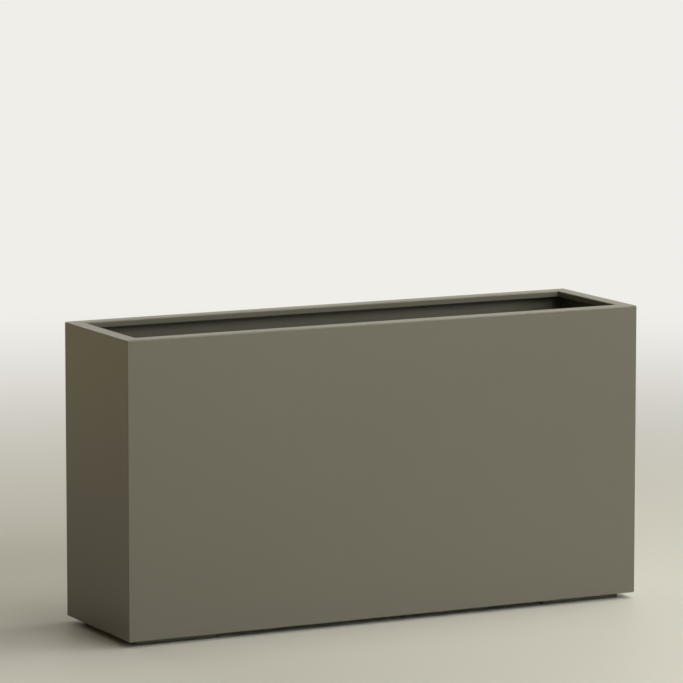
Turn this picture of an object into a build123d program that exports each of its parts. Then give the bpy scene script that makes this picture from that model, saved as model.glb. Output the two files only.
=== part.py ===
"""Rectangular floor planter, folded and welded from steel sheet, on two low feet.

Millimetres. The origin is on the floor under the middle of the planter. +X runs along
its length to the right, +Y to the back and +Z up, so the front face looks along -Y.
"""

import os

from build123d import *

os.makedirs("parts", exist_ok=True)

# Overall size of the body, without its feet
body_length = 1143.0
body_depth = 305.0
body_height = 598.0

# Sheet, its bends and the dressed welds of the upright corners
sheet = 1.5
bend_inside = 1.0
bend_outside = bend_inside + sheet
corner_round = 1.2

# Clearances: between welded pieces, under lifted pieces and round fasteners
weld_gap = 0.2
seat_gap = 0.3
hole_gap = 0.4
thread_gap = 0.05

# Rim and floor returns that are folded on every wall panel
lip_width = 30.0
hem_height = 12.0
floor_return = 50.0

# Upright angles inside the corners
angle_leg = 25.0
angle_end_gap = 4.0

# Base pan and its drain holes
pan_wall = 25.0
drain_radius = 10.0
drain_to_foot = 107.0

# Feet, with the counterbores for their screws
foot_height = 12.0
foot_length = 180.0
foot_inset = 24.0
foot_edge_chamfer = 3.0
foot_corner_round = 8.0
foot_bore_depth = 6.5
foot_bore_radius = 7.5
foot_screw_edge = 12.5

# Foot screws and the cap nuts that hold them
foot_screw_radius = 3.0
foot_screw_head_radius = 5.5
foot_screw_head_height = 3.3
foot_screw_socket_radius = 2.0
foot_screw_socket_depth = 2.0
foot_screw_length = 16.0
cap_nut_half_width = 5.0
cap_nut_height = 12.0
cap_nut_bore_depth = 9.5
cap_nut_crown = 1.5

# Cross braces, brackets and bolts
brace_inset = 286.0
brace_width = 40.0
brace_height = 25.0
brace_top = 333.0
brace_end_gap = 1.0
bracket_sheet = 3.0
bracket_bend = 2.0
bracket_width = 36.0
bracket_reach = 45.0
bracket_drop = 40.0
bracket_corner = 8.0
brace_bolt_reach = 26.0
brace_bolt_radius = 4.0
brace_bolt_length = 18.0
hex_half_width = 6.5
hex_head_height = 5.3
hex_nut_height = 6.5
hex_crown = 0.6

# Lift-out planting shelf
shelf_margin = 4.0
shelf_side = 20.0
shelf_notch_gap = 2.0
shelf_slot_length = 60.0
shelf_slot_width = 8.0
shelf_slot_columns = 6
shelf_slot_rows = 3
shelf_row_pitch = 66.0
grip_length = 90.0
grip_width = 28.0
grip_edge = 50.0

# Drain plugs
plug_flange_radius = 16.0
plug_flange_height = 3.0
plug_stem_length = 7.0
plug_running_gap = 0.3
plug_tab_width = 14.0
plug_tab_height = 13.0
plug_tab_thickness = 4.0
plug_tab_hole_radius = 3.0

# Levels and half sizes worked out from the driving sizes
body_bottom = foot_height
body_top = body_bottom + body_height
half_length = body_length / 2
half_depth = body_depth / 2
inner_half_length = half_length - sheet
inner_half_depth = half_depth - sheet
pan_bottom = body_bottom + sheet
pan_floor = pan_bottom + sheet
brace_x = half_length - brace_inset
brace_bottom = brace_top - brace_height
foot_x = half_length - foot_inset - foot_length / 2
foot_depth = body_depth - 2 * foot_inset
foot_screw_y = half_depth - floor_return + foot_screw_edge
drain_x = foot_x - foot_length / 2 - drain_to_foot
shelf_bottom = brace_top + seat_gap
shelf_top = shelf_bottom + sheet

foot_screw_places = [
    (side * foot_x, row * foot_screw_y)
    for side in (-1, 1)
    for row in (-1, 1)
]
brace_bolt_places = [
    (side * brace_x, row * (inner_half_depth - brace_bolt_reach))
    for side in (-1, 1)
    for row in (-1, 1)
]
drain_places = [(-drain_x, 0), (0, 0), (drain_x, 0)]


def wall_section(half_span):
    """Folded section of a wall: hem, rim lip, wall and floor return, one sheet thick."""
    FilletPolyline(
        (lip_width - half_span, body_top - hem_height),
        (lip_width - half_span, body_top),
        (-half_span, body_top),
        (-half_span, body_bottom),
        (floor_return - half_span, body_bottom),
        radius=bend_outside,
    )
    offset(amount=sheet, side=Side.LEFT)


# Plan of the body with its dressed corners, which trims each wall panel
with BuildSketch(Plane.XY.offset(body_bottom)) as body_plan:
    RectangleRounded(body_length, body_depth, corner_round)

# Holes for the screws of the feet, through the floor returns and the base pan
with BuildSketch(Plane.XY.offset(body_bottom)) as foot_screw_holes:
    with Locations(*foot_screw_places):
        Circle(foot_screw_radius + hole_gap)


# Wall panels. Each is one folded strip, cut at 45 degrees through all its folds, so
# that the rim, the upright corners and the floor returns meet in welded mitres.
with BuildPart() as front_panel:
    with BuildSketch(Plane.YZ):
        with BuildLine():
            wall_section(half_depth)
        make_face()
    extrude(amount=half_length, both=True)
    split(bisect_by=Plane((-half_length, -half_depth, 0), z_dir=(1, -1, 0)))
    split(bisect_by=Plane((half_length, -half_depth, 0), z_dir=(-1, -1, 0)))
    extrude(body_plan.sketch, amount=body_height, mode=Mode.INTERSECT)
    extrude(foot_screw_holes.sketch, amount=2 * sheet, mode=Mode.SUBTRACT)
front_panel.part.label = "front_panel"
export_step(front_panel.part, "parts/front_panel.step")

with BuildPart() as back_panel:
    mirror(front_panel.part, about=Plane.XZ)
back_panel.part.label = "back_panel"
export_step(back_panel.part, "parts/back_panel.step")

with BuildPart() as left_end_panel:
    with BuildSketch(Plane.XZ):
        with BuildLine():
            wall_section(half_length)
        make_face()
    extrude(amount=half_depth, both=True)
    split(bisect_by=Plane((-half_length, -half_depth, 0), z_dir=(-1, 1, 0)))
    split(bisect_by=Plane((-half_length, half_depth, 0), z_dir=(-1, -1, 0)))
    extrude(body_plan.sketch, amount=body_height, mode=Mode.INTERSECT)
left_end_panel.part.label = "left_end_panel"
export_step(left_end_panel.part, "parts/left_end_panel.step")

with BuildPart() as right_end_panel:
    mirror(left_end_panel.part, about=Plane.YZ)
right_end_panel.part.label = "right_end_panel"
export_step(right_end_panel.part, "parts/right_end_panel.step")

# Corner angles. They stand on the welds inside the upright corners, from the base
# pan's sides to just under the rim.
angle_bottom = pan_bottom + pan_wall + angle_end_gap
angle_top = body_top - sheet - angle_end_gap
angle_x = inner_half_length - weld_gap
angle_y = inner_half_depth - weld_gap

with BuildPart() as front_left_corner_angle:
    with BuildSketch(Plane.XY.offset(angle_bottom)):
        with BuildLine():
            FilletPolyline(
                (-angle_x, angle_leg - angle_y),
                (-angle_x, -angle_y),
                (angle_leg - angle_x, -angle_y),
                radius=bend_outside,
            )
            offset(amount=sheet, side=Side.LEFT)
        make_face()
    extrude(amount=angle_top - angle_bottom)
front_left_corner_angle.part.label = "front_left_corner_angle"
export_step(front_left_corner_angle.part, "parts/front_left_corner_angle.step")

with BuildPart() as front_right_corner_angle:
    mirror(front_left_corner_angle.part, about=Plane.YZ)
front_right_corner_angle.part.label = "front_right_corner_angle"
export_step(front_right_corner_angle.part, "parts/front_right_corner_angle.step")

with BuildPart() as back_left_corner_angle:
    mirror(front_left_corner_angle.part, about=Plane.XZ)
back_left_corner_angle.part.label = "back_left_corner_angle"
export_step(back_left_corner_angle.part, "parts/back_left_corner_angle.step")

with BuildPart() as back_right_corner_angle:
    mirror(front_right_corner_angle.part, about=Plane.XZ)
back_right_corner_angle.part.label = "back_right_corner_angle"
export_step(back_right_corner_angle.part, "parts/back_right_corner_angle.step")

# Base pan. A shallow tray that lies on the floor returns, with its sides welded to
# the walls and three drain holes between the feet.
with BuildPart() as base_pan:
    with BuildSketch(Plane.XY.offset(pan_bottom)):
        Rectangle(2 * angle_x, 2 * angle_y)
    extrude(amount=pan_wall)
    fillet(base_pan.faces().sort_by(Axis.Z)[0].edges(), bend_outside)
    offset(amount=-sheet, openings=base_pan.faces().sort_by(Axis.Z)[-1])
    with BuildSketch(Plane.XY.offset(pan_bottom)):
        with Locations(*drain_places):
            Circle(drain_radius)
    extrude(amount=sheet, mode=Mode.SUBTRACT)
    extrude(foot_screw_holes.sketch, amount=2 * sheet, mode=Mode.SUBTRACT)
base_pan.part.label = "base_pan"
export_step(base_pan.part, "parts/base_pan.step")

# Feet. Moulded rubber blocks, set in from the faces so that only their dark edge
# shows, with chamfered lower edges and the screw heads sunk from below.
for name, side in (("left_foot", -1), ("right_foot", 1)):
    with BuildPart() as foot:
        with BuildSketch():
            with Locations((side * foot_x, 0)):
                RectangleRounded(foot_length, foot_depth, foot_corner_round)
        extrude(amount=foot_height)
        chamfer(foot.faces().sort_by(Axis.Z)[0].edges(), foot_edge_chamfer)
        with Locations(Plane((side * foot_x, 0, 0), z_dir=(0, 0, -1))):
            with GridLocations(0, 2 * foot_screw_y, 1, 2):
                CounterBoreHole(
                    radius=foot_screw_radius + hole_gap,
                    counter_bore_radius=foot_bore_radius,
                    counter_bore_depth=foot_bore_depth,
                )
    foot.part.label = name
    export_step(foot.part, f"parts/{name}.step")

# Foot screws. Flat heads with a six-sided socket, sunk in the counterbores.
with BuildPart() as foot_screw:
    with BuildSketch(Plane.XY.offset(foot_bore_depth)):
        Circle(foot_screw_head_radius)
    extrude(amount=-foot_screw_head_height)
    with BuildSketch(Plane.XY.offset(foot_bore_depth - foot_screw_head_height)):
        RegularPolygon(foot_screw_socket_radius, 6, major_radius=False)
    extrude(amount=foot_screw_socket_depth, mode=Mode.SUBTRACT)
    with BuildSketch(Plane.XY.offset(foot_bore_depth)):
        Circle(foot_screw_radius)
    extrude(amount=foot_screw_length)

with BuildPart() as foot_screws:
    with Locations(*foot_screw_places):
        add(foot_screw.part)
foot_screws.part.label = "foot_screws"
export_step(foot_screws.part, "parts/foot_screws.step")

# Cap nuts of the feet. Each stands on the base pan, clamps pan and floor return to the
# foot, and is closed on top, so no water reaches its hole.
with BuildPart() as foot_cap_nut:
    with BuildSketch(Plane.XY.offset(pan_floor)):
        RegularPolygon(cap_nut_half_width, 6, major_radius=False)
    extrude(amount=cap_nut_height)
    chamfer(foot_cap_nut.faces().sort_by(Axis.Z)[-1].edges(), cap_nut_crown)
    with BuildSketch(Plane.XY.offset(pan_floor)):
        Circle(foot_screw_radius + thread_gap)
    extrude(amount=cap_nut_bore_depth, mode=Mode.SUBTRACT)

with BuildPart() as foot_cap_nuts:
    with Locations(*foot_screw_places):
        add(foot_cap_nut.part)
foot_cap_nuts.part.label = "foot_cap_nuts"
export_step(foot_cap_nuts.part, "parts/foot_cap_nuts.step")

# Brace brackets. Short angles welded to the long walls, with the level leg on top.
for row_name, row in (("front", -1), ("back", 1)):
    for side_name, side in (("left", -1), ("right", 1)):
        name = f"{row_name}_{side_name}_brace_bracket"
        with BuildPart() as bracket:
            with BuildSketch(Plane.YZ.offset(side * brace_x)):
                with BuildLine():
                    FilletPolyline(
                        (bracket_reach - angle_y, brace_bottom),
                        (-angle_y, brace_bottom),
                        (-angle_y, brace_bottom - bracket_drop),
                        radius=bracket_bend + bracket_sheet,
                    )
                    offset(amount=bracket_sheet, side=Side.LEFT)
                make_face()
            extrude(amount=bracket_width / 2, both=True)
            leg_end = bracket.faces().sort_by(Axis.Y)[-1]
            chamfer(leg_end.edges().filter_by(Axis.Z), bracket_corner)
            with BuildSketch(Plane.XY.offset(brace_bottom)):
                with Locations((side * brace_x, brace_bolt_reach - inner_half_depth)):
                    Circle(brace_bolt_radius + hole_gap)
            extrude(amount=-bracket_sheet, mode=Mode.SUBTRACT)
            if row == 1:
                mirror(about=Plane.XZ, mode=Mode.REPLACE)
        bracket.part.label = name
        export_step(bracket.part, f"parts/{name}.step")

# Cross braces. Open channels from wall to wall. Their upper edges carry the shelf.
for name, side in (("left_cross_brace", -1), ("right_cross_brace", 1)):
    with BuildPart() as brace:
        with BuildSketch(Plane.XZ):
            with BuildLine():
                FilletPolyline(
                    (side * brace_x - brace_width / 2, brace_top),
                    (side * brace_x - brace_width / 2, brace_bottom),
                    (side * brace_x + brace_width / 2, brace_bottom),
                    (side * brace_x + brace_width / 2, brace_top),
                    radius=bend_outside,
                )
                offset(amount=sheet, side=Side.LEFT)
            make_face()
        extrude(amount=inner_half_depth - brace_end_gap, both=True)
        with BuildSketch(Plane.XY.offset(brace_bottom)):
            with Locations((side * brace_x, 0)):
                with GridLocations(0, 2 * (inner_half_depth - brace_bolt_reach), 1, 2):
                    Circle(brace_bolt_radius + hole_gap)
        extrude(amount=sheet, mode=Mode.SUBTRACT)
    brace.part.label = name
    export_step(brace.part, f"parts/{name}.step")

# Brace bolts. Six-sided heads in the channel, shanks down through the bracket.
head_seat = brace_bottom + sheet
with BuildPart() as brace_bolt:
    with BuildSketch(Plane.XY.offset(head_seat)):
        RegularPolygon(hex_half_width, 6, major_radius=False)
    extrude(amount=hex_head_height)
    chamfer(brace_bolt.faces().sort_by(Axis.Z)[-1].edges(), hex_crown)
    with BuildSketch(Plane.XY.offset(head_seat)):
        Circle(brace_bolt_radius)
    extrude(amount=-brace_bolt_length)

with BuildPart() as brace_bolts:
    with Locations(*brace_bolt_places):
        add(brace_bolt.part)
brace_bolts.part.label = "brace_bolts"
export_step(brace_bolts.part, "parts/brace_bolts.step")

# Brace nuts, under the brackets
nut_seat = brace_bottom - bracket_sheet
with BuildPart() as brace_nut:
    with BuildSketch(Plane.XY.offset(nut_seat)):
        RegularPolygon(hex_half_width, 6, major_radius=False)
    extrude(amount=-hex_nut_height)
    chamfer(brace_nut.faces().sort_by(Axis.Z)[0].edges(), hex_crown)
    with BuildSketch(Plane.XY.offset(nut_seat)):
        Circle(brace_bolt_radius + thread_gap)
    extrude(amount=-hex_nut_height, mode=Mode.SUBTRACT)

with BuildPart() as brace_nuts:
    with Locations(*brace_bolt_places):
        add(brace_nut.part)
brace_nuts.part.label = "brace_nuts"
export_step(brace_nuts.part, "parts/brace_nuts.step")

# Planting shelf. A plate with folded-down sides that just passes the rim. Notches in
# its long sides drop over the cross braces and keep it in place.
shelf_length = body_length - 2 * lip_width - 2 * shelf_margin
shelf_depth = body_depth - 2 * lip_width - 2 * shelf_margin
slot_pitch = brace_x / 2
grip_x = shelf_length / 2 - grip_edge
with BuildPart() as planting_shelf:
    with BuildSketch(Plane.XY.offset(shelf_top - shelf_side)):
        Rectangle(shelf_length, shelf_depth)
    extrude(amount=shelf_side)
    fillet(planting_shelf.faces().sort_by(Axis.Z)[-1].edges(), bend_outside)
    offset(amount=-sheet, openings=planting_shelf.faces().sort_by(Axis.Z)[0])
    with BuildSketch(Plane.XY.offset(shelf_top - shelf_side)):
        with GridLocations(2 * brace_x, 0, 2, 1):
            Rectangle(brace_width + 2 * shelf_notch_gap, shelf_depth)
    extrude(amount=shelf_side - sheet, mode=Mode.SUBTRACT)
    with BuildSketch(Plane.XY.offset(shelf_bottom)):
        with GridLocations(slot_pitch, shelf_row_pitch, shelf_slot_columns, shelf_slot_rows):
            Rectangle(shelf_slot_length, shelf_slot_width)
        with GridLocations(2 * grip_x, 0, 2, 1):
            SlotOverall(grip_length, grip_width, rotation=90)
    extrude(amount=sheet, mode=Mode.SUBTRACT)
planting_shelf.part.label = "planting_shelf"
export_step(planting_shelf.part, "parts/planting_shelf.step")

# Drain plugs. Rubber stoppers with a stem, a sealing flange and an upright pull ring.
plug_seat = pan_floor + seat_gap
plug_stem_radius = drain_radius - plug_running_gap
for name, (plug_x, plug_y) in zip(
    ("left_drain_plug", "middle_drain_plug", "right_drain_plug"), drain_places
):
    with BuildPart() as plug:
        with BuildSketch(Plane.XZ):
            with BuildLine():
                Polyline(
                    (0, plug_seat - plug_stem_length),
                    (plug_stem_radius, plug_seat - plug_stem_length),
                    (plug_stem_radius, plug_seat),
                    (plug_flange_radius, plug_seat),
                    (plug_flange_radius, plug_seat + plug_flange_height),
                    (0, plug_seat + plug_flange_height),
                    close=True,
                )
            make_face()
        revolve(axis=Axis.Z)
        with BuildSketch(Plane.XZ):
            with Locations((0, plug_seat + plug_flange_height)):
                Rectangle(plug_tab_width, plug_tab_height, align=(Align.CENTER, Align.MIN))
            with Locations((0, plug_seat + plug_flange_height + plug_tab_height)):
                Circle(plug_tab_width / 2)
                Circle(plug_tab_hole_radius, mode=Mode.SUBTRACT)
        extrude(amount=plug_tab_thickness / 2, both=True)
    placed_plug = Pos(plug_x, plug_y, 0) * plug.part
    placed_plug.label = name
    export_step(placed_plug, f"parts/{name}.step")
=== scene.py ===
import math

import bmesh
import bpy
import numpy as np
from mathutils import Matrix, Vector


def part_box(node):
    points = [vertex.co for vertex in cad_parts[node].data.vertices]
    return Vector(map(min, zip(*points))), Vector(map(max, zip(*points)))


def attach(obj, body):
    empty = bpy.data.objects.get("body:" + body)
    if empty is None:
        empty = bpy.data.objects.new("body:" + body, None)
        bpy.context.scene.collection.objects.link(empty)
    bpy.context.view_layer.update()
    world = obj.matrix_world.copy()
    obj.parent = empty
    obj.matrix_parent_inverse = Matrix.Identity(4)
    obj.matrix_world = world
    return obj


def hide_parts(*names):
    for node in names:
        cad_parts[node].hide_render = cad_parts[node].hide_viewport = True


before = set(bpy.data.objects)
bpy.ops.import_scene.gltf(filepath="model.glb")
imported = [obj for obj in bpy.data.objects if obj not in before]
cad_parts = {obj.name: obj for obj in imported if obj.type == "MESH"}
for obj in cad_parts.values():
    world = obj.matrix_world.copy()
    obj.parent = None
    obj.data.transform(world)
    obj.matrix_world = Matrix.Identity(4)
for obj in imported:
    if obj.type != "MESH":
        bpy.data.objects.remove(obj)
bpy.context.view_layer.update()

# Camera. A long lens that stands in front of the planter's left end and looks a little
# down, as the photograph does.
camera_place = (-4.3003, -8.4500, 1.8945)
camera_turn = math.radians(26.8149)
camera_down = math.radians(8.0560)
camera_lens = 249.27
camera_sensor = 36
camera_data = bpy.data.cameras.new("camera")
camera_data.sensor_width = camera_sensor
camera_data.lens = camera_lens
camera = bpy.data.objects.new("camera", camera_data)
camera.location = camera_place
camera.rotation_euler = (math.pi / 2 - camera_down, 0, -camera_turn)
bpy.context.scene.collection.objects.link(camera)
bpy.context.scene.camera = camera
bpy.context.scene.view_settings.view_transform = "Standard"

# Floor. A plain pale floor that keeps the planter's soft shadow. It fades to the white of
# the studio a few metres away, and is mirrored there as a warmer white.
floor_radius = 60.0
floor_sides = 96
floor_near = 0.7
floor_far = 4.8
floor_roughness = 0.55
floor_colour = (0.79, 0.78, 0.735, 1)
studio_white = (0.87, 0.855, 0.815, 1)
mirrored_floor = (0.74, 0.64, 0.39, 1)


def add_node(tree, kind, inputs=None, **settings):
    """A shader node of one kind. inputs gives plain values or other nodes' sockets, by the
    name or number of the input that takes them."""
    node = tree.nodes.new(kind)
    for key, value in settings.items():
        setattr(node, key, value)
    for key, value in (inputs or {}).items():
        if isinstance(value, bpy.types.NodeSocket):
            tree.links.new(value, node.inputs[key])
        else:
            node.inputs[key].default_value = value
    return node


def new_material(name):
    """A node material with its tree and its one surface shader."""
    material = bpy.data.materials.new(name)
    material.use_nodes = True
    return material, material.node_tree, material.node_tree.nodes["Principled BSDF"]


def worked_out(tree, operation, *values):
    """The result of one operation of a Math node on numbers or other nodes' sockets."""
    return add_node(tree, "ShaderNodeMath", dict(enumerate(values)), operation=operation).outputs[0]


def blend(tree, share, first, second):
    """A colour that turns from the first into the second as a share goes from 0 to 1."""
    return add_node(tree, "ShaderNodeMix", {0: share, 6: first, 7: second}, data_type="RGBA").outputs[2]


def stretch(tree, value, low, high, to_low=0.0, to_high=1.0, eased=False):
    """A value carried from one range to another and held at its ends, in a straight line or
    eased in and out."""
    ranges = {"Value": value, "From Min": low, "From Max": high, "To Min": to_low, "To Max": to_high}
    line = "SMOOTHSTEP" if eased else "LINEAR"
    return add_node(tree, "ShaderNodeMapRange", ranges, interpolation_type=line).outputs[0]


angles = np.linspace(0, 2 * np.pi, floor_sides, endpoint=False)
floor_rim = np.stack([np.cos(angles), np.sin(angles), 0 * angles], axis=1) * floor_radius
floor_mesh = bpy.data.meshes.new("floor")
floor_mesh.from_pydata(floor_rim.tolist(), [], [list(range(floor_sides))])
floor = bpy.data.objects.new("floor", floor_mesh)
bpy.context.scene.collection.objects.link(floor)

pale_floor, tree, shader = new_material("pale_floor")
shader.inputs["Roughness"].default_value = floor_roughness
shader.inputs["Base Color"].default_value = floor_colour
place = add_node(tree, "ShaderNodeTexCoord").outputs["Object"]
distance = add_node(tree, "ShaderNodeVectorMath", {0: place}, operation="LENGTH").outputs["Value"]
fade = stretch(tree, distance, floor_near, floor_far, eased=True)
path = add_node(tree, "ShaderNodeLightPath").outputs
seen = worked_out(tree, "MAXIMUM", path["Is Camera Ray"], path["Is Glossy Ray"])
amount = worked_out(tree, "MULTIPLY", fade, seen)
tone = blend(tree, path["Is Glossy Ray"], studio_white, mirrored_floor)
glow = add_node(tree, "ShaderNodeEmission", {"Color": tone, "Strength": 1.0}).outputs[0]
mix = add_node(tree, "ShaderNodeMixShader", {0: amount, 1: shader.outputs[0], 2: glow}).outputs[0]
tree.links.new(mix, tree.nodes["Material Output"].inputs["Surface"])
floor_mesh.materials.append(pale_floor)

# Studio. A pale surround that is seen as white and mirrors as a warmer white, but not from
# the left. It has a faint warm fill and large soft lamps in front, low in front, right,
# above and behind.
fill_strength = 0.1
fill_colour = (1.0, 0.78, 0.52, 1)
mirrored_white = (0.86, 0.835, 0.73, 1)
bright_side = (0.75, 0.55, 0.36)
lamp_target = np.array([0, 0, 0.35])
world = bpy.data.worlds.new("studio")
bpy.context.scene.world = world
world.use_nodes = True
tree = world.node_tree
tree.nodes.clear()
path = add_node(tree, "ShaderNodeLightPath").outputs
place = add_node(tree, "ShaderNodeTexCoord").outputs["Generated"]
side = add_node(tree, "ShaderNodeVectorMath", {0: place, 1: bright_side}, operation="DOT_PRODUCT")
bright = stretch(tree, side.outputs["Value"], -0.1, 0.7, eased=True)
mirrored = worked_out(tree, "MULTIPLY", path["Is Glossy Ray"], bright)
seen = worked_out(tree, "MAXIMUM", path["Is Camera Ray"], path["Is Transmission Ray"])
seen = worked_out(tree, "MAXIMUM", seen, mirrored)
tone = blend(tree, path["Is Glossy Ray"], studio_white, mirrored_white)
fill = add_node(tree, "ShaderNodeBackground", {"Color": fill_colour, "Strength": fill_strength})
white = add_node(tree, "ShaderNodeBackground", {"Color": tone, "Strength": 1.0})
mix = add_node(tree, "ShaderNodeMixShader", {0: seen, 1: fill.outputs[0], 2: white.outputs[0]})
add_node(tree, "ShaderNodeOutputWorld", {"Surface": mix.outputs[0]})


def soft_lamp(name, place, size, power, colour):
    """A rectangular area lamp at a place, turned so that it shines at the planter's middle."""
    data = bpy.data.lights.new(name, "AREA")
    data.shape = "RECTANGLE"
    data.size, data.size_y = size
    data.energy = power
    data.color = colour
    lamp = bpy.data.objects.new(name, data)
    lamp.visible_camera = False
    direction = lamp_target - np.array(place)
    lamp.location = place
    lamp.rotation_euler = (
        math.atan2(math.hypot(direction[0], direction[1]), -direction[2]),
        0,
        math.atan2(-direction[0], direction[1]),
    )
    bpy.context.scene.collection.objects.link(lamp)


soft_lamp("front_softbox", (0.7, -3.6, 2.6), (2.4, 1.6), 52, (1.0, 1.0, 0.89))
soft_lamp("low_softbox", (0.9, -4.6, 0.8), (3.0, 1.0), 20, (0.92, 1.0, 0.92))
soft_lamp("right_softbox", (3.4, -3.4, 2.2), (2.2, 1.8), 60, (0.88, 0.88, 1.0))
soft_lamp("overhead_softbox", (1.4, -0.3, 2.9), (2.0, 2.0), 41, (1.0, 1.0, 0.88))
soft_lamp("back_softbox", (-0.8, 4.4, 2.8), (2.6, 1.6), 26, (1.0, 0.97, 0.9))

# Wall sheets. Four strips of 1.5 mm steel, each folded to a hem, a flat rim lip, a wall and
# a floor return. Their ends are cut at 45 degrees through every fold and welded together,
# and the welds are ground flush before the planter is powder coated.
mm = 0.001
sheet = 1.5 * mm
outer_bend = 2.5 * mm
inner_bend = outer_bend - sheet
cut_edge = 0.3 * mm
lip_width = 30 * mm
hem_height = 12 * mm
floor_return = 50 * mm
weld_round = 1.2 * mm
inner_weld_round = 0.4 * mm
arc_steps = 8
weld_steps = 4
flat_margin = 1.0 * mm
wall_columns = 24
merge_distance = 0.001 * mm
crease_angle = math.radians(40)
panel_low, panel_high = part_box("front_panel")
half_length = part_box("right_end_panel")[1].x
half_depth = -panel_low.y
wall_bottom = panel_low.z
wall_top = panel_high.z


def rounded_loop(corners, radii, steps=arc_steps, margin=flat_margin):
    """Closed outline through the corners. Each corner becomes an arc: its centre lies on the
    corner's bisector, and its points turn evenly from one tangent point to the other. One
    more point stands a margin away on either side, so that flats stay flat when smoothed.
    Also gives 1 for points on an arc and 0 for the others."""
    corners = np.array(corners, float)
    radii = np.array(radii, float)[:, None]
    back = np.roll(corners, 1, axis=0) - corners
    ahead = np.roll(corners, -1, axis=0) - corners
    back_length = np.linalg.norm(back, axis=1, keepdims=True)
    ahead_length = np.linalg.norm(ahead, axis=1, keepdims=True)
    back = back / back_length
    ahead = ahead / ahead_length
    half_angle = np.arccos((back * ahead).sum(axis=1, keepdims=True)) / 2
    reach = radii / np.tan(half_angle)
    centre = corners + (back + ahead) / (2 * np.cos(half_angle)) * radii / np.sin(half_angle)
    start = corners + back * reach - centre
    end = corners + ahead * reach - centre
    turn = (np.pi - 2 * half_angle)[:, None]
    share = np.linspace(0, 1, steps + 1)[None, :, None]
    arc = np.sin((1 - share) * turn) * start[:, None] + np.sin(share * turn) * end[:, None]
    arc = centre[:, None] + arc / np.sin(turn)
    room_back = (back_length - reach - np.roll(reach, 1, axis=0)) / 3
    room_ahead = (ahead_length - reach - np.roll(reach, -1, axis=0)) / 3
    first = arc[:, :1] + (back * np.minimum(room_back, margin))[:, None]
    last = arc[:, -1:] + (ahead * np.minimum(room_ahead, margin))[:, None]
    points = np.concatenate([first, arc, last], axis=1)
    bent = np.ones(points.shape[:2])
    bent[:, [0, -1]] = 0
    return points.reshape(-1, 2), bent.reshape(-1)


def grid_faces(loops, count, closed=False):
    """Four-sided faces between loops of points and the next ones. Where closed, the last
    loop is also joined to the first."""
    loop, point = np.meshgrid(np.arange(loops if closed else loops - 1), np.arange(count), indexing="ij")
    here = loop * count
    ahead = (loop + 1) % loops * count
    after = (point + 1) % count
    return np.stack([here + point, here + after, ahead + after, ahead + point], axis=-1).reshape(-1, 4)


def section_faces(stations, loop):
    """Faces of a sheet section that is carried along stations: those between the loops, and
    strips across the sheet's thickness that close the first and last loops. A loop's points
    pair up, the first with the last, across the sheet. The outermost strip at each cut edge
    takes the edge's two middle points as well."""
    half = loop // 2
    near = np.arange(2, half - 3)
    strips = np.stack([near, near + 1, loop - 2 - near, loop - 1 - near], axis=1)
    edges = np.array([
        [0, 1, 2, loop - 3, loop - 2, loop - 1],
        [half - 3, half - 2, half - 1, half, half + 1, half + 2],
    ])
    last = (stations - 1) * loop
    return [grid_faces(stations, loop), strips[:, ::-1], strips + last, edges[:, ::-1], edges + last]


def ring_faces(rings, count):
    """Faces between closed rings, and lids on the first and the last one."""
    lid = np.arange(count)
    return [grid_faces(rings, count), np.stack([lid[::-1], (rings - 1) * count + lid])]


def joined(bodies):
    """One set of points and faces from those of several bodies."""
    points = [body_points.reshape(-1, 3) for body_points, faces in bodies]
    starts = np.cumsum([0] + [len(body_points) for body_points in points])
    faces = [block + start for start, (body_points, blocks) in zip(starts, bodies) for block in blocks]
    return np.concatenate(points), faces


def closed_mesh(name, points, faces, bent=None):
    """A mesh from points in metres and from arrays of faces, each with the point numbers of
    faces of one kind. Points that coincide are merged, and faces are turned outwards."""
    mesh = bpy.data.meshes.new(name)
    mesh.from_pydata(points.reshape(-1, 3).tolist(), [], [face for block in faces for face in block.tolist()])
    if bent is not None:
        wear_and_highlight = mesh.attributes.new("bent", "FLOAT", "POINT")
        wear_and_highlight.data.foreach_set("value", bent.reshape(-1).astype(np.float32))
    surface = bmesh.new()
    surface.from_mesh(mesh)
    bmesh.ops.remove_doubles(surface, verts=surface.verts, dist=merge_distance)
    bmesh.ops.recalc_face_normals(surface, faces=surface.faces)
    surface.to_mesh(mesh)
    surface.free()
    return mesh


def make_piece(name, points, faces, material, nodes=(), body="planter_body", bent=None):
    """A smooth shaded piece of the planter, whose edges stay crisp where they are sharp. It
    stands in for CAD nodes, moves with a body and has one material."""
    mesh = closed_mesh(name, points, faces, bent)
    mesh.shade_smooth()
    mesh.set_sharp_from_angle(angle=crease_angle)
    mesh.materials.append(material)
    piece = bpy.data.objects.new(name, mesh)
    bpy.context.scene.collection.objects.link(piece)
    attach(piece, body)
    if nodes:
        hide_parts(*nodes)
    return piece


def slot_outline(x, y, half_run, radius, steps=10, upright=False):
    """Outline of a slot with round ends: two half circles about points on its middle line.
    It is a round hole where half_run equals radius."""
    half = np.linspace(-np.pi / 2, np.pi / 2, steps + 1)
    right = np.stack([half_run - radius + radius * np.cos(half), radius * np.sin(half)], axis=1)
    outline = np.concatenate([right, -right])
    if upright:
        outline = outline[:, ::-1] * [-1, 1]
    return outline + [x, y]


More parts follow.
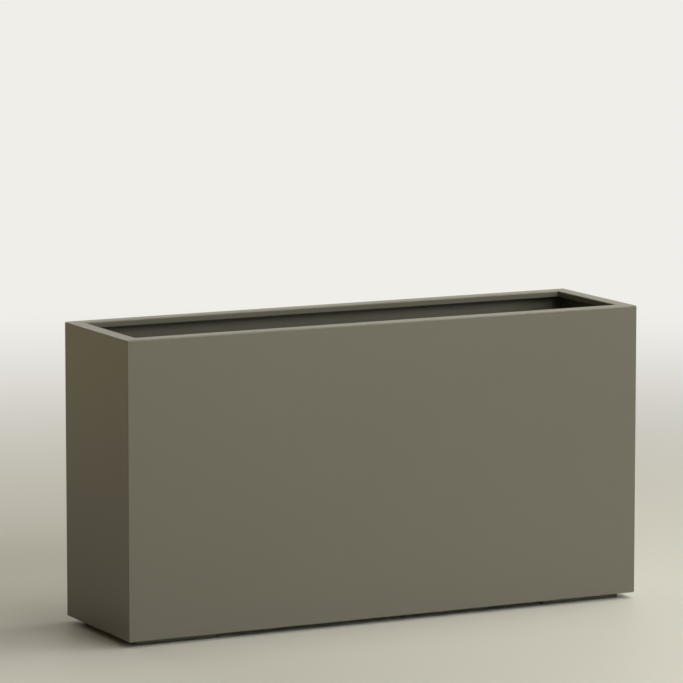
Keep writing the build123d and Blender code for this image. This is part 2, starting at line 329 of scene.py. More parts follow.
def punch(piece, outlines, low, high):
    """Cuts upright holes of the outlines through a piece, between two heights. Each outline
    is carried from low to high and closed, and that body is taken away from the piece."""
    bodies = []
    for outline in outlines:
        rings = [np.column_stack([outline, np.full(len(outline), height)]) for height in (low, high)]
        bodies.append((np.concatenate(rings), ring_faces(2, len(outline))))
    mesh = closed_mesh("punch", *joined(bodies))
    tool = bpy.data.objects.new("punch", mesh)
    bpy.context.scene.collection.objects.link(tool)
    cut = piece.modifiers.new("punched", "BOOLEAN")
    cut.operation = "DIFFERENCE"
    cut.solver = "EXACT"
    cut.object = tool
    depsgraph = bpy.context.evaluated_depsgraph_get()
    punched = bpy.data.meshes.new_from_object(
        piece.evaluated_get(depsgraph), preserve_all_data_layers=True, depsgraph=depsgraph
    )
    piece.modifiers.remove(cut)
    bpy.data.objects.remove(tool)
    bpy.data.meshes.remove(mesh)
    whole = piece.data
    piece.data = punched
    bpy.data.meshes.remove(whole)
    punched.name = piece.name
    punched.set_sharp_from_angle(angle=crease_angle)


def new_group(name, inputs, outputs):
    """A shader node group with a vector input for the place on the piece, named number
    inputs and named number outputs. Gives the group, its input node and its output node."""
    group = bpy.data.node_groups.new(name, "ShaderNodeTree")
    group.interface.new_socket("Place", in_out="INPUT", socket_type="NodeSocketVector")
    for key, value in inputs.items():
        socket = group.interface.new_socket(key, in_out="INPUT", socket_type="NodeSocketFloat")
        socket.default_value = value
    for key in outputs:
        group.interface.new_socket(key, in_out="OUTPUT", socket_type="NodeSocketFloat")
    return group, group.nodes.new("NodeGroupInput"), group.nodes.new("NodeGroupOutput")


# Broad patches and fine grain, which every finish of the planter has in its own size
patch_range = (0.3, 0.7)
variation, given, result = new_group(
    "patches_and_grain", {"Patch Scale": 3, "Grain Scale": 600}, ["Patches", "Grain"]
)
for scale, output, detail in (("Patch Scale", "Patches", 3.0), ("Grain Scale", "Grain", 2.0)):
    noise = add_node(
        variation, "ShaderNodeTexNoise",
        {"Vector": given.outputs["Place"], "Scale": given.outputs[scale], "Detail": detail},
    )
    variation.links.new(noise.outputs["Fac"], result.inputs[output])

# Rubbed and highlit bends: a mask that follows the bends, broken up by small noise, for rubbed wear and a
# painted highlight
bend_wear_and_highlight, given, result = new_group("rubbed_and_highlit_bends", {"Break Up": 90}, ["Rubbed"])
bends = add_node(bend_wear_and_highlight, "ShaderNodeAttribute", attribute_name="bent").outputs["Fac"]
spots = add_node(
    bend_wear_and_highlight, "ShaderNodeTexNoise",
    {"Vector": given.outputs["Place"], "Scale": given.outputs["Break Up"], "Detail": 4.0},
)
broken = stretch(bend_wear_and_highlight, spots.outputs["Fac"], 0.35, 0.65)
bend_wear_and_highlight.links.new(worked_out(bend_wear_and_highlight, "MULTIPLY", bends, broken), result.inputs["Rubbed"])


def mottled(tree, patch_scale, grain_scale):
    """The patches and the grain in a material, at scales of its own. Also gives the place
    on the piece."""
    place = add_node(tree, "ShaderNodeTexCoord").outputs["Object"]
    scales = {"Place": place, "Patch Scale": patch_scale, "Grain Scale": grain_scale}
    mottle = add_node(tree, "ShaderNodeGroup", scales, node_tree=variation)
    return place, mottle.outputs["Patches"], mottle.outputs["Grain"]


def raised(tree, height, strength, depth, below=None):
    """A normal that stands out by a height times a depth, over another normal if given."""
    relief = {"Strength": strength, "Distance": depth, "Height": height}
    if below is not None:
        relief["Normal"] = below
    return add_node(tree, "ShaderNodeBump", relief).outputs[0]


# Powder coat. A thin olive-grey film with fine orange peel and a satin skin. It is a little
# paler over the bends, where it flows thin and as a painted highlight, and sinks faintly
# along the ground welds.
coat_colour = (0.162, 0.151, 0.118, 1)
coat_dark = (0.156, 0.145, 0.113, 1)
# Paler tone for the bends: thinner coat, and a painted highlight along the edges
coat_thin_and_highlight = (0.19, 0.178, 0.142, 1)
coat_roughness = (0.32, 0.35)
peel_depth = 0.2 * mm
seam_depth = 0.1 * mm
seam_half_width = 1.6 * mm

powder_coat, tree, shader = new_material("olive_grey_powder_coat")
place, patches, grain = mottled(tree, 3.0, 620.0)
wear_and_highlight = add_node(tree, "ShaderNodeGroup", {"Place": place}, node_tree=bend_wear_and_highlight)
tint = blend(tree, patches, coat_dark, coat_colour)
# The bends are painted paler: thin coat and rubbing, and a painted highlight along the edges
tree.links.new(blend(tree, wear_and_highlight.outputs["Rubbed"], tint, coat_thin_and_highlight), shader.inputs["Base Color"])
tree.links.new(stretch(tree, patches, *patch_range, *coat_roughness), shader.inputs["Roughness"])
apart = add_node(tree, "ShaderNodeSeparateXYZ", {0: place}).outputs
along = worked_out(tree, "ABSOLUTE", apart["X"])
across = worked_out(tree, "ABSOLUTE", apart["Y"])
offset = worked_out(tree, "SUBTRACT", along, across)
offset = worked_out(tree, "SUBTRACT", offset, half_length - half_depth)
offset = worked_out(tree, "ABSOLUTE", offset)
seam = stretch(tree, offset, 0.0, math.sqrt(2) * seam_half_width, -1.0, 0.0, eased=True)
peel = raised(tree, grain, 0.25, peel_depth)
tree.links.new(raised(tree, seam, 0.5, seam_depth, peel), shader.inputs["Normal"])

wall_corners = [
    (lip_width, wall_top - hem_height), (lip_width, wall_top), (0, wall_top),
    (0, wall_bottom), (floor_return, wall_bottom), (floor_return, wall_bottom + sheet),
    (sheet, wall_bottom + sheet), (sheet, wall_top - sheet),
    (lip_width - sheet, wall_top - sheet), (lip_width - sheet, wall_top - hem_height),
]
wall_radii = [cut_edge] + [outer_bend] * 3 + [cut_edge] * 2 + [inner_bend] * 3 + [cut_edge]
wall_loop, wall_bent = rounded_loop(wall_corners, wall_radii)


def wall_sheet(name, node, half_run, half_across, turns):
    """A folded wall. Its section gives an inset from the outer face and a height. At an
    inset, the wall's outline is that of the planter drawn in by it, with a small round at
    the corners that shrinks to the inner one over the bend. The sheet runs straight between
    the rounds and takes half of each. turns are quarter turns from the front wall."""
    inset, height = wall_loop.T
    shrink = np.clip(inset / outer_bend, 0, 1)
    round_radius = weld_round + (inner_weld_round - weld_round) * shrink
    straight = half_run - inset - round_radius
    columns = np.linspace(-1, 1, wall_columns)[:, None] * (straight - flat_margin)
    columns = np.concatenate([-straight[None], columns, straight[None]])
    outward = np.broadcast_to(half_across - inset, columns.shape)
    angle = np.linspace(0, np.pi / 4, weld_steps + 1)[1:, None]
    arc_run = straight + round_radius * np.sin(angle)
    arc_outward = half_across - inset - round_radius * (1 - np.cos(angle))
    run = np.concatenate([-arc_run[::-1], columns, arc_run])
    outward = np.concatenate([arc_outward[::-1], outward, arc_outward])
    bent = np.zeros(run.shape)
    bent[:] = wall_bent
    bent[:weld_steps] = 1
    bent[-weld_steps:] = 1
    cosine, sine = math.cos(turns * math.pi / 2), math.sin(turns * math.pi / 2)
    x = run * cosine + outward * sine
    y = run * sine - outward * cosine
    points = np.stack([x, y, np.broadcast_to(height, x.shape)], axis=-1)
    faces = section_faces(*x.shape)
    return make_piece(name, points, faces, powder_coat, [node], bent=bent)


front_wall = wall_sheet("front_wall_sheet", "front_panel", half_length, half_depth, 0)
wall_sheet("right_wall_sheet", "right_end_panel", half_depth, half_length, 1)
back_wall = wall_sheet("back_wall_sheet", "back_panel", half_length, half_depth, 2)
wall_sheet("left_wall_sheet", "left_end_panel", half_depth, half_length, 3)

# Holes for the screws of the feet, punched in the floor returns of the long walls
screw_hole = 3.4 * mm
screw_inset = 12.5 * mm
foot_low, foot_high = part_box("right_foot")
foot_x = (foot_low.x + foot_high.x) / 2
screw_y = half_depth - floor_return + screw_inset
for piece, row in ((front_wall, -1), (back_wall, 1)):
    outlines = [slot_outline(side * foot_x, row * screw_y, screw_hole, screw_hole) for side in (-1, 1)]
    punch(piece, outlines, wall_bottom - sheet, wall_bottom + 2 * sheet)

# Corner angles. Folded steel angles that stand on the welds inside the upright corners and
# are stitch welded to both walls, then coated with them.
angle_leg = 25 * mm
angle_corners = [
    (angle_leg, 0), (0, 0), (0, angle_leg),
    (sheet, angle_leg), (sheet, sheet), (angle_leg, sheet),
]
angle_radii = [cut_edge, outer_bend, cut_edge, cut_edge, inner_bend, cut_edge]
angle_loop, angle_bent = rounded_loop(angle_corners, angle_radii)
for row_name, row in (("front", -1), ("back", 1)):
    for side_name, side in (("left", -1), ("right", 1)):
        node = f"{row_name}_{side_name}_corner_angle"
        low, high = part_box(node)
        corner_x = max(abs(low.x), abs(high.x))
        corner_y = max(abs(low.y), abs(high.y))
        heights = np.array([low.z, low.z + flat_margin, high.z - flat_margin, high.z])
        u, height = np.meshgrid(angle_loop[:, 0], heights)
        v = np.broadcast_to(angle_loop[:, 1], u.shape)
        points = np.stack([side * (corner_x - u), row * (corner_y - v), height], axis=-1)
        bent = np.broadcast_to(angle_bent, u.shape)
        name = f"{row_name}_{side_name}_folded_angle"
        faces = section_faces(*u.shape)
        make_piece(name, points, faces, powder_coat, [node], bent=bent)

# Base pan. A shallow tray that lies on the floor returns. Its turned-up sides are welded to
# the walls, and it has three drain holes and the holes of the foot screws.
drain_hole = 10 * mm
soft_edge = 0.3 * mm
least_corner = 0.2 * mm
tray_corner = 1.6 * mm


def stacked_rings(rows, x=0.0, y=0.0, steps=6, margin=flat_margin):
    """Body of level rounded rectangles, one after the other. A row gives half length, half
    width, corner round and height. Each corner is a quarter circle, with one more point a
    margin along each straight side. Flat lids close the first and the last ring."""
    rows = np.array(rows, float)
    half_x, half_y, radius, height = (column[:, None, None] for column in rows.T)
    quarter = np.arange(4)[None, :, None] * np.pi / 2
    turn = quarter + np.linspace(0, np.pi / 2, steps + 1)[None, None, :]
    sign_x = np.array([1, -1, -1, 1])[None, :, None]
    sign_y = np.array([1, 1, -1, -1])[None, :, None]
    ring_x = sign_x * (half_x - radius) + radius * np.cos(turn)
    ring_y = sign_y * (half_y - radius) + radius * np.sin(turn)
    ahead = quarter + np.pi / 2
    before_x = ring_x[:, :, :1] - margin * np.cos(ahead)
    before_y = ring_y[:, :, :1] - margin * np.sin(ahead)
    after_x = ring_x[:, :, -1:] + margin * np.cos(ahead + np.pi / 2)
    after_y = ring_y[:, :, -1:] + margin * np.sin(ahead + np.pi / 2)
    ring_x = np.concatenate([before_x, ring_x, after_x], axis=2).reshape(len(rows), -1)
    ring_y = np.concatenate([before_y, ring_y, after_y], axis=2).reshape(len(rows), -1)
    ring_z = np.broadcast_to(height[:, :, 0], ring_x.shape)
    points = np.stack([x + ring_x, y + ring_y, ring_z], axis=-1)
    return points, ring_faces(*ring_x.shape)


def bent_rows(half_x, half_y, corner, flat_z, radius, up, steps=arc_steps):
    """Rows of the bend between a tray's flat and its sides: a quarter circle that starts on
    the flat, a radius in from the sides, and ends on them, a radius up or down."""
    turn = np.linspace(0, np.pi / 2, steps + 1)
    inward = radius * (1 - np.sin(turn))
    height = flat_z + up * radius * (1 - np.cos(turn))
    corner = np.maximum(corner - inward, least_corner)
    return np.stack([half_x - inward, half_y - inward, corner, height], axis=1)


def tray(low, high, corner, opens_up):
    """A tray of sheet within a box. Its outer bend runs from the flat to the sides, the rim
    is one sheet thick, and the inner bend leads back to the flat's other face."""
    half_x, half_y = (high.x - low.x) / 2, (high.y - low.y) / 2
    up = 1 if opens_up else -1
    flat = low.z if opens_up else high.z
    rim = high.z if opens_up else low.z
    outer = bent_rows(half_x, half_y, corner, flat, outer_bend, up)
    edge = [
        (half_x, half_y, corner, rim - up * soft_edge),
        (half_x - soft_edge, half_y - soft_edge, corner, rim),
        (half_x - sheet + soft_edge, half_y - sheet + soft_edge, corner, rim),
        (half_x - sheet, half_y - sheet, corner, rim - up * soft_edge),
    ]
    inner = bent_rows(half_x - sheet, half_y - sheet, corner, flat + up * sheet, inner_bend, up)
    lid = [outer[0] - [flat_margin, flat_margin, 0, 0]]
    inner_lid = [inner[0] - [flat_margin, flat_margin, 0, 0]]
    rows = np.concatenate([lid, outer, edge, inner[::-1], inner_lid])
    return stacked_rings(rows, (low.x + high.x) / 2, (low.y + high.y) / 2)


pan_low, pan_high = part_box("base_pan")
points, faces = tray(pan_low, pan_high, tray_corner, True)
base_tray = make_piece("base_tray", points, faces, powder_coat, ["base_pan"])
plug_names = ("left_drain_plug", "middle_drain_plug", "right_drain_plug")
plug_boxes = [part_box(name) for name in plug_names]
plug_places = [((low.x + high.x) / 2, (low.y + high.y) / 2) for low, high in plug_boxes]
screw_places = [(side * foot_x, row * screw_y) for side in (-1, 1) for row in (-1, 1)]
outlines = [slot_outline(x, y, drain_hole, drain_hole, steps=24) for x, y in plug_places]
outlines += [slot_outline(x, y, screw_hole, screw_hole) for x, y in screw_places]
punch(base_tray, outlines, pan_low.z - sheet, pan_low.z + 2 * sheet)

# Cross braces. Open channels of galvanised steel between the long walls. They keep the
# walls straight, and their upper edges carry the shelf.
spangle_scale = 150.0
zinc_dark = (0.42, 0.44, 0.455, 1)
zinc_pale = (0.6, 0.62, 0.63, 1)
white_bloom = (0.63, 0.64, 0.64, 1)
bolt_hole = 4.4 * mm
bolt_inset = 26 * mm
zinc_roughness = (0.3, 0.46)
bloom_roughness = 0.12
zinc_relief = 0.1 * mm

galvanised, tree, shader = new_material("galvanised_steel")
shader.inputs["Metallic"].default_value = 1.0
place, patches, grain = mottled(tree, 14.0, 1500.0)
spangle = add_node(tree, "ShaderNodeTexVoronoi", {"Vector": place, "Scale": spangle_scale}, feature="F1")
flake = add_node(tree, "ShaderNodeSeparateColor", {0: spangle.outputs["Color"]}).outputs
bloom = stretch(tree, patches, 0.45, 0.75, 0.0, 0.7)
tint = blend(tree, flake[0], zinc_dark, zinc_pale)
tree.links.new(blend(tree, bloom, tint, white_bloom), shader.inputs["Base Color"])
dull = stretch(tree, flake[1], 0.0, 1.0, *zinc_roughness)
dull = worked_out(tree, "MULTIPLY_ADD", bloom, bloom_roughness, dull)
tree.links.new(dull, shader.inputs["Roughness"])
facets = raised(tree, flake[2], 0.2, zinc_relief)
tree.links.new(raised(tree, grain, 0.15, zinc_relief, facets), shader.inputs["Normal"])

bolt_y = half_depth - sheet - bolt_inset
bolt_places = []
for name, node in (("left_channel_brace", "left_cross_brace"), ("right_channel_brace", "right_cross_brace")):
    low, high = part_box(node)
    middle = (low.x + high.x) / 2
    outer = (high.x - low.x) / 2
    inner = outer - sheet
    web = low.z + sheet
    channel_corners = [
        (-outer, high.z), (-outer, low.z), (outer, low.z), (outer, high.z),
        (inner, high.z), (inner, web), (-inner, web), (-inner, high.z),
    ]
    channel_radii = [cut_edge] + [outer_bend] * 2 + [cut_edge] * 2 + [inner_bend] * 2 + [cut_edge]
    channel_loop = rounded_loop(channel_corners, channel_radii)[0]
    stations = np.array([low.y, low.y + flat_margin, high.y - flat_margin, high.y])
    u, y = np.meshgrid(channel_loop[:, 0], stations)
    points = np.stack([middle + u, y, np.broadcast_to(channel_loop[:, 1], u.shape)], axis=-1)
    brace = make_piece(name, points, section_faces(*u.shape), galvanised, [node])
    places = [(middle, -bolt_y), (middle, bolt_y)]
    bolt_places += places
    outlines = [slot_outline(x, y, bolt_hole, bolt_hole) for x, y in places]
    punch(brace, outlines, low.z - sheet, low.z + 2 * sheet)

# Planting shelf. A galvanised plate with folded-down sides. It has three rows of punched
# drain slots, a finger slot at each end and notches that drop over the braces.
slot_half_length = 30 * mm
slot_radius = 4 * mm
slot_columns = 6
slot_row_pitch = 66 * mm
grip_half_length = 45 * mm
grip_radius = 14 * mm
grip_edge = 50 * mm
notch_half_width = 22 * mm
notch_depth = 4 * mm
notch_room = 0.1 * mm
punched_edge = 0.3 * mm


def soften(piece, width, angle=50):
    """Rounds the crisp edges of a piece a little, as punching, blasting or moulding does."""
    bevel = piece.modifiers.new("soft_edges", "BEVEL")
    bevel.width = width
    bevel.segments = 2
    bevel.limit_method = "ANGLE"
    bevel.angle_limit = math.radians(angle)
    bevel.harden_normals = True


shelf_low, shelf_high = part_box("planting_shelf")
points, faces = tray(shelf_low, shelf_high, tray_corner, False)
shelf = make_piece("slotted_shelf", points, faces, galvanised, ["planting_shelf"], body="shelf")
brace_x = bolt_places[-1][0]
slot_pitch = brace_x / 2
slot_columns_x = (np.arange(slot_columns) - (slot_columns - 1) / 2) * slot_pitch
outlines = [
    slot_outline(x, row * slot_row_pitch, slot_half_length, slot_radius)
    for x in slot_columns_x
    for row in (-1, 0, 1)
]
outlines += [
    slot_outline(side * (shelf_high.x - grip_edge), 0, grip_half_length, grip_radius, 16, upright=True)
    for side in (-1, 1)
]
punch(shelf, outlines, shelf_high.z - 2 * sheet, shelf_high.z + sheet)
notch = np.array([(-1, -1), (1, -1), (1, 1), (-1, 1)]) * [notch_half_width, notch_depth]
notches = [notch + [side * brace_x, row * shelf_high.y] for side in (-1, 1) for row in (-1, 1)]
punch(shelf, notches, shelf_low.z - sheet, shelf_high.z - sheet - notch_room)
soften(shelf, punched_edge)
soften(base_tray, punched_edge)

# Bolts and nuts of the braces. M8 hexagon bolts of zinc plated steel go down through each
# channel and its bracket, with the nuts below. free stands for a size that sets no limit.
free = 1.0
hexagon = 6.5 * mm
turned_sides = 48
bolt_radius = 4 * mm
thread_pitch = 1.25 * mm
thread_depth = 0.55 * mm
thread_room = 0.02 * mm
nut_bore = 4.05 * mm
plate_dark = (0.5, 0.505, 0.5, 1)
plate_pale = (0.68, 0.685, 0.68, 1)


def mottled_finish(name, colours, roughness, scales, strength, depth):
    """A material whose colour and roughness go in patches between two values each, and whose
    grain stands out a little."""
    material, tree, shader = new_material(name)
    patches, grain = mottled(tree, *scales)[1:]
    tree.links.new(blend(tree, patches, *colours), shader.inputs["Base Color"])
    tree.links.new(stretch(tree, patches, *patch_range, *roughness), shader.inputs["Roughness"])
    tree.links.new(raised(tree, grain, strength, depth), shader.inputs["Normal"])
    return material, shader


zinc_plate, shader = mottled_finish(
    "bright_zinc_plate", (plate_dark, plate_pale), (0.2, 0.34), (160.0, 2600.0), 0.12, 0.1 * mm
)
shader.inputs["Metallic"].default_value = 1.0


def at_places(rings, places):
    """Like bodies at the places, from the rings of one body about the origin."""
    shift = np.column_stack([np.array(places, float), np.zeros(len(places))])
    points = shift[:, None, None] + rings[None]
    first = np.arange(len(places))[:, None, None] * rings[..., 0].size
    faces = ring_faces(*rings.shape[:2])
    return points.reshape(-1, 3), [(block + first).reshape(-1, block.shape[1]) for block in faces]


def turned(rows, places, sides=turned_sides):
    """Like bodies about upright axes at the places. A row gives a round radius, a six-sided
    half width and a height. Round the axis, the radius is the smaller of the round one and
    the half width over the cosine of the angle from the nearest flat."""
    rows = np.array(rows, float)
    angle = np.linspace(0, 2 * np.pi, sides, endpoint=False)
    from_flat = angle % (np.pi / 3) - np.pi / 6
    radius = np.minimum(rows[:, :1], rows[:, 1:2] / np.cos(from_flat))
    rings = np.stack([radius * np.cos(angle), radius * np.sin(angle), rows[:, 2:] + 0 * angle], axis=-1)
    return at_places(rings, places)


def threaded(places, radius, low, high, steps_per_turn=6, sides=24):
    """Threaded rods about upright axes. The radius falls from the crest by the thread's
    depth times a triangle wave, whose phase is the height over the pitch less the share of
    a turn round the axis. It fades out at both ends."""
    count = int(round((high - low) / thread_pitch * steps_per_turn)) + 1
    height = np.linspace(low, high, count)[:, None]
    angle = np.linspace(0, 2 * np.pi, sides, endpoint=False)
    phase = (height / thread_pitch - angle / (2 * np.pi)) % 1
    wave = 1 - np.abs(2 * phase - 1)
    ends = np.clip(np.minimum(height - low, high - height) / thread_pitch, 0, 1)
    thread = radius - thread_depth * (wave * ends + (1 - ends))
    rings = np.stack([thread * np.cos(angle), thread * np.sin(angle), height + 0 * angle], axis=-1)
    return at_places(rings, places)


bolts_low, bolts_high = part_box("brace_bolts")
nuts_low, nuts_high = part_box("brace_nuts")
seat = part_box("left_cross_brace")[0].z + sheet
top = bolts_high.z
end = bolts_low.z
head_rows = [
    (3.6 * mm, free, top - 0.4 * mm), (4.4 * mm, free, top - 0.3 * mm), (4.9 * mm, free, top),
    (6.1 * mm, hexagon, top), (6.5 * mm, hexagon, top - 0.25 * mm), (6.9 * mm, hexagon, top - 0.5 * mm),
    (7.2 * mm, hexagon, top - 0.7 * mm), (free, hexagon, top - 0.95 * mm), (free, hexagon, seat + 0.5 * mm),
    (7.2 * mm, hexagon, seat + 0.35 * mm), (6.3 * mm, free, seat + 0.3 * mm), (6.3 * mm, free, seat),
    (4.5 * mm, free, seat), (bolt_radius, free, seat - 0.5 * mm), (bolt_radius, free, seat - 5 * mm),
]
bolt_head = turned(head_rows, bolt_places)
bolt_thread = threaded(bolt_places, bolt_radius - thread_room, end, seat - 4 * mm)
points, faces = joined([bolt_head, bolt_thread])
make_piece("hexagon_bolts", points, faces, zinc_plate, ["brace_bolts"])


def nut_rows(bore, half_width, low, high):
    """Rows of a nut, from the mouth of its bore round its outside and back up the bore. The
    30 degree chamfers are round radii that grow until the flats take over."""
    corner = half_width / math.cos(math.pi / 6)
    step = (corner - half_width) / 3
    outer = [(half_width - 0.2 * mm + step * k, half_width, 0.26 * mm * k) for k in range(5)]
    lower = [(radius, flat, low + rise) for radius, flat, rise in outer]
    upper = [(radius, flat, high - rise) for radius, flat, rise in outer]
    middle = (bore, free, (low + high) / 2)
    mouth = [middle, (bore, free, low + 0.5 * mm), (bore + 0.5 * mm, free, low)]
    top_mouth = [(bore + 0.5 * mm, free, high), (bore, free, high - 0.5 * mm), middle]
    return mouth + lower + upper[::-1] + top_mouth


# The first and last rings of a nut are the same, so it has no lids
points, faces = turned(nut_rows(nut_bore, hexagon, nuts_low.z, nuts_high.z), bolt_places)
make_piece("hexagon_nuts", points, faces[:1], zinc_plate, ["brace_nuts"])

# Feet. Two blocks of moulded dark olive rubber, set in from the faces, so that the planter
# seems to float. Their lower edges are rounded, and the screw heads are sunk from below.
foot_round = 3 * mm
foot_corner = 8 * mm
flash_height = 0.1 * mm
flash_half_width = 0.25 * mm
parting_rise = 1 * mm
moulded_edge = 0.35 * mm
counterbore = 7.5 * mm
counterbore_depth = 6.5 * mm
rubber_dark = (0.1, 0.096, 0.072, 1)
rubber_pale = (0.12, 0.116, 0.089, 1)

foot_rubber = mottled_finish(
    "moulded_foot_rubber", (rubber_dark, rubber_pale), (0.6, 0.74), (40.0, 1100.0), 0.35, 0.2 * mm
)[0]
for name, node in (("left_foot_block", "left_foot"), ("right_foot_block", "right_foot")):
    low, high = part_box(node)
    half_x, half_y = (high.x - low.x) / 2, (high.y - low.y) / 2
    side_x, side_y = half_x - flash_height, half_y - flash_height
    lower = bent_rows(side_x, side_y, foot_corner, low.z, foot_round, 1, steps=6)
    parting = (low.z + high.z) / 2 + parting_rise
    rows = np.concatenate([
        [lower[0] - [flat_margin, flat_margin, 0, 0]],
        lower,
        [
            (side_x, side_y, foot_corner, parting - flash_half_width),
            (half_x, half_y, foot_corner, parting),
            (side_x, side_y, foot_corner, parting + flash_half_width),
            (side_x, side_y, foot_corner, high.z - soft_edge),
            (side_x - soft_edge, side_y - soft_edge, foot_corner, high.z),
        ],
    ])
    points, faces = stacked_rings(rows, (low.x + high.x) / 2, 0, steps=8)
    block = make_piece(name, points, faces, foot_rubber, [node])
    places = [((low.x + high.x) / 2, row * screw_y) for row in (-1, 1)]
    outlines = [slot_outline(x, y, counterbore, counterbore, steps=20) for x, y in places]
    punch(block, outlines, low.z - sheet, low.z + counterbore_depth)
    outlines = [slot_outline(x, y, screw_hole, screw_hole) for x, y in places]
    punch(block, outlines, low.z + 0.5 * counterbore_depth, high.z + sheet)
    soften(block, moulded_edge)

# Foot screws. Low-headed socket screws of zinc plated steel, up through foot, floor return
# and base pan.
socket = 2.0 * mm
screws_low, screws_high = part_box("foot_screws")
face = screws_low.z
under = counterbore_depth
end = screws_high.z
screw_rows = [
    (0.3 * mm, free, face + 2.6 * mm), (free, socket, face + 2.0 * mm),
    (free, socket, face + 0.3 * mm), (free, socket + 0.25 * mm, face), (4.7 * mm, free, face),
    (5.15 * mm, free, face + 0.12 * mm), (5.4 * mm, free, face + 0.35 * mm),
    (5.5 * mm, free, face + 0.7 * mm), (5.5 * mm, free, under - 0.2 * mm),
    (5.3 * mm, free, under), (3.4 * mm, free, under), (3.0 * mm, free, under + 0.4 * mm),
    (3.0 * mm, free, end - 0.6 * mm), (2.5 * mm, free, end),
]
points, faces = turned(screw_rows, screw_places)
make_piece("socket_screws", points, faces, zinc_plate, ["foot_screws"])

# Cap nuts. Domed nuts of zinc plated steel on the base pan, which take the foot screws and
# close their holes against water.
cap_flat = 5 * mm
cap_low, cap_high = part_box("foot_cap_nuts")
cap_hex_height = 5.6 * mm
cap_neck = 4.7 * mm
cap_bore = 9.5 * mm
dome_steps = 8
dome_turn = math.radians(84)
foot = cap_low.z
shoulder = foot + cap_hex_height
dome_base = shoulder + 1.4 * mm
dome_rise = (cap_high.z - dome_base) / math.sin(dome_turn)
dome_rows = [
    (cap_neck * math.cos(turn), free, dome_base + dome_rise * math.sin(turn))
    for turn in np.linspace(0, dome_turn, dome_steps)
]
cap_rows = [
    (3.05 * mm, free, foot + cap_bore), (3.05 * mm, free, foot + 0.5 * mm), (3.5 * mm, free, foot),
    (4.9 * mm, cap_flat, foot), (5.2 * mm, cap_flat, foot + 0.2 * mm),
    (5.5 * mm, cap_flat, foot + 0.4 * mm), (free, cap_flat, foot + 0.65 * mm),
    (free, cap_flat, shoulder - 0.65 * mm), (5.5 * mm, cap_flat, shoulder - 0.4 * mm),
    (5.2 * mm, cap_flat, shoulder - 0.2 * mm), (4.9 * mm, cap_flat, shoulder),
    (cap_neck + 0.08 * mm, free, shoulder + 0.1 * mm), (cap_neck, free, shoulder + 0.3 * mm),
] + dome_rows
points, faces = turned(cap_rows, screw_places)
make_piece("domed_cap_nuts", points, faces, zinc_plate, ["foot_cap_nuts"])

# Drain plugs. Stoppers of smooth black rubber with a sealing flange and a pull ring, pushed
# into the drain holes by hand.
plug_dark = (0.014, 0.014, 0.0145, 1)
plug_pale = (0.022, 0.022, 0.0225, 1)
stem_radius = 9.7 * mm
flange_radius = 16 * mm
flange_height = 3 * mm
tab_half_width = 7 * mm
tab_rise = 13 * mm
tab_thickness = 4 * mm
tab_hole = 3 * mm
tab_round = 1.0 * mm
tab_sides = 56
plug_sides = 72

plug_rubber = mottled_finish(
    "smooth_plug_rubber", (plug_dark, plug_pale), (0.4, 0.52), (90.0, 1800.0), 0.12, 0.1 * mm
)[0]


def pull_ring(x, y, z):
    """A flat ring about a level axis. Its section is a rounded rectangle whose inner side
    stays on the hole and whose outer side follows the tab: a half circle above, and straight
    sides down to the flange below, so the outer radius is the least of those."""
    nominal = 10 * mm
    half = tab_thickness / 2
    corners = [(0, -half), (nominal, -half), (nominal, half), (0, half)]
    loop = rounded_loop(corners, [tab_round] * 4, steps=4, margin=0.5 * mm)[0]
    angle = np.linspace(0, 2 * np.pi, tab_sides, endpoint=False)[:, None]
    down = np.maximum(-np.sin(angle), 1e-9)
    sideways = np.maximum(np.abs(np.cos(angle)), 1e-9)
    below = np.minimum(tab_half_width / sideways, (tab_rise + 0.5 * mm) / down)
    outer = np.where(np.sin(angle) > 0, tab_half_width, below)
    inner_part = loop[:, 0] < nominal / 2
    radial = np.where(inner_part, tab_hole + loop[:, 0], outer - (nominal - loop[:, 0]))
    ring_x = x + radial * np.cos(angle)
    ring_z = z + radial * np.sin(angle)
    ring_y = y + np.broadcast_to(loop[:, 1], ring_x.shape)
    points = np.stack([ring_x, ring_y, ring_z], axis=-1)
    return points, [grid_faces(*ring_x.shape, closed=True)]


for node, (low, high), (x, y) in zip(plug_names, plug_boxes, plug_places):
    seat = high.z - tab_half_width - tab_rise - flange_height
    top = seat + flange_height
    rim = flange_radius
    rows = [
        (7.6 * mm, free, low.z), (8.6 * mm, free, low.z + 0.1 * mm), (9.3 * mm, free, low.z + 0.5 * mm),
        (stem_radius, free, low.z + 1.4 * mm), (stem_radius, free, seat - 0.6 * mm),
        (stem_radius - 0.5 * mm, free, seat - 0.3 * mm), (stem_radius - 0.3 * mm, free, seat),
        (rim - 0.7 * mm, free, seat), (rim - 0.2 * mm, free, seat + 0.2 * mm),
        (rim, free, seat + 0.7 * mm), (rim, free, top - 1.2 * mm),
        (rim - 0.3 * mm, free, top - 0.5 * mm), (rim - 1.0 * mm, free, top - 0.1 * mm),
        (rim - 1.8 * mm, free, top), (rim - 2.4 * mm, free, top),
        (rim - 2.8 * mm, free, top - 0.35 * mm), (rim - 3.4 * mm, free, top - 0.35 * mm),
        (rim - 3.8 * mm, free, top), (rim - 4.6 * mm, free, top),
    ]
    stopper = turned(rows, [(x, y)], plug_sides)
    points, faces = joined([stopper, pull_ring(x, y, top + tab_rise)])
    name = node.replace("drain_plug", "rubber_stopper")
    body = node.replace("drain_", "")
    make_piece(name, points, faces, plug_rubber, [node], body)

# Brace brackets. Short angles of 3 mm steel welded to the long walls, which carry the
# braces. Their shape is that of the model, and they are coated with the walls.
for row_name in ("front", "back"):
    for side_name in ("left", "right"):
        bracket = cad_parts[f"{row_name}_{side_name}_brace_bracket"]
        bracket.data.materials.clear()
        bracket.data.materials.append(powder_coat)

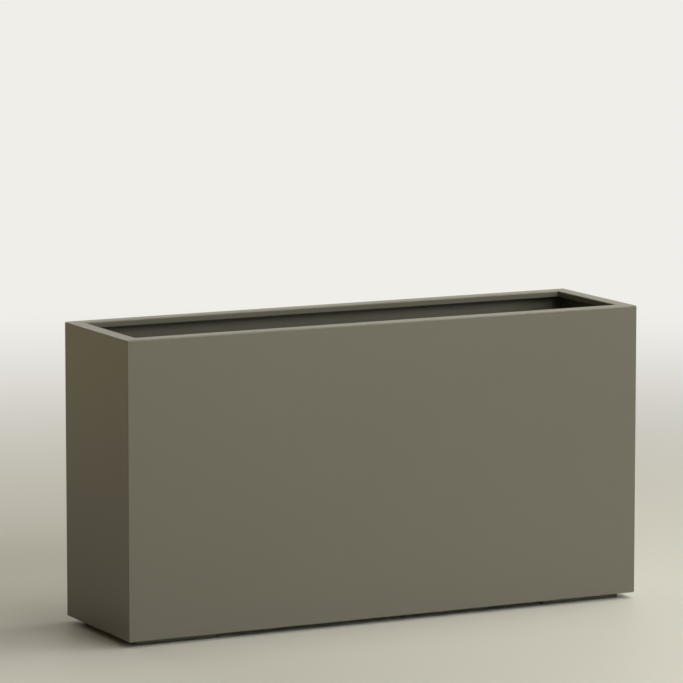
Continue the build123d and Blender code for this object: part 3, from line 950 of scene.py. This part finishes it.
# Weld beads. Short stitches of weld metal that hold the angles, the base pan and the
# brackets to the walls inside, left as welded and coated with them.
bead_width = 4.2 * mm
bead_height = 2.6 * mm
bead_ripples = 8
bead_steps = 41
bead_sides = 10
stitch_half = 13 * mm
angle_stitches = (95 * mm, 215 * mm, 400 * mm, 520 * mm)
pan_stitches = (-480 * mm, -380 * mm, -190 * mm, 0, 190 * mm, 380 * mm, 480 * mm)
pan_end_stitches = (-70 * mm, 70 * mm)


def weld_beads(starts, ends, sides, ups):
    """Beads along straight runs. A bead is an ellipse carried along its run. Its size goes to
    nothing at both ends by the root of one less a high power of the distance from the
    middle, and swells a little at each ripple, which trails behind at the edges."""
    along = np.linspace(0, 1, bead_steps)[None, :, None]
    round_angle = np.linspace(0, 2 * np.pi, bead_sides, endpoint=False)[None, None, :]
    taper = np.sqrt(np.clip(1 - np.abs(2 * along - 1) ** 5, 0, 1))
    ripple = 1 + 0.1 * np.sin(2 * np.pi * (bead_ripples * along + 0.22 * np.cos(2 * round_angle)))
    size = (taper * ripple)[..., None]
    middle = starts[:, None, None] + (ends - starts)[:, None, None] * along[..., None]
    ring = (
        np.cos(round_angle)[..., None] * sides[:, None, None] * bead_width / 2
        + np.sin(round_angle)[..., None] * ups[:, None, None] * bead_height / 2
    )
    points = middle + size * ring
    first = np.arange(len(starts))[:, None, None] * (bead_steps * bead_sides)
    return points, [(grid_faces(bead_steps, bead_sides) + first).reshape(-1, 4)]


# Each stitch: its middle, the way it runs, the way along the wall and the way off the wall
stitches = []
inner_x = half_length - sheet
inner_y = half_depth - sheet
for side in (-1, 1):
    for row in (-1, 1):
        leg_x = side * (inner_x - angle_leg - 0.6 * mm)
        leg_y = row * (inner_y - angle_leg - 0.6 * mm)
        wall_x = side * (inner_x - 0.5 * mm)
        wall_y = row * (inner_y - 0.5 * mm)
        for height in angle_stitches:
            stitches.append(((leg_x, wall_y, height), (0, 0, 1), (side, 0, 0), (0, -row, 0)))
            stitches.append(((wall_x, leg_y, height), (0, 0, 1), (0, row, 0), (-side, 0, 0)))
pan_edge = pan_high.z + 0.2 * mm
for row in (-1, 1):
    for x in pan_stitches:
        middle = (x, row * (inner_y - 0.7 * mm), pan_edge)
        stitches.append((middle, (1, 0, 0), (0, 0, 1), (0, -row, 0)))
for side in (-1, 1):
    for y in pan_end_stitches:
        middle = (side * (inner_x - 0.7 * mm), y, pan_edge)
        stitches.append((middle, (0, 1, 0), (0, 0, 1), (-side, 0, 0)))
for side_name in ("left", "right"):
    for row_name, row in (("front", -1), ("back", 1)):
        low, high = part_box(f"{row_name}_{side_name}_brace_bracket")
        for edge in (low.x - 0.8 * mm, high.x + 0.8 * mm):
            middle = (edge, row * (inner_y - 1.0 * mm), (low.z + high.z) / 2)
            stitches.append((middle, (0, 0, 1), (1, 0, 0), (0, -row, 0)))
middles, runs, sides, ups = (np.array(part, float) for part in zip(*stitches))
points, faces = weld_beads(middles - runs * stitch_half, middles + runs * stitch_half, sides, ups)
make_piece("stitch_welds", points, faces, powder_coat)
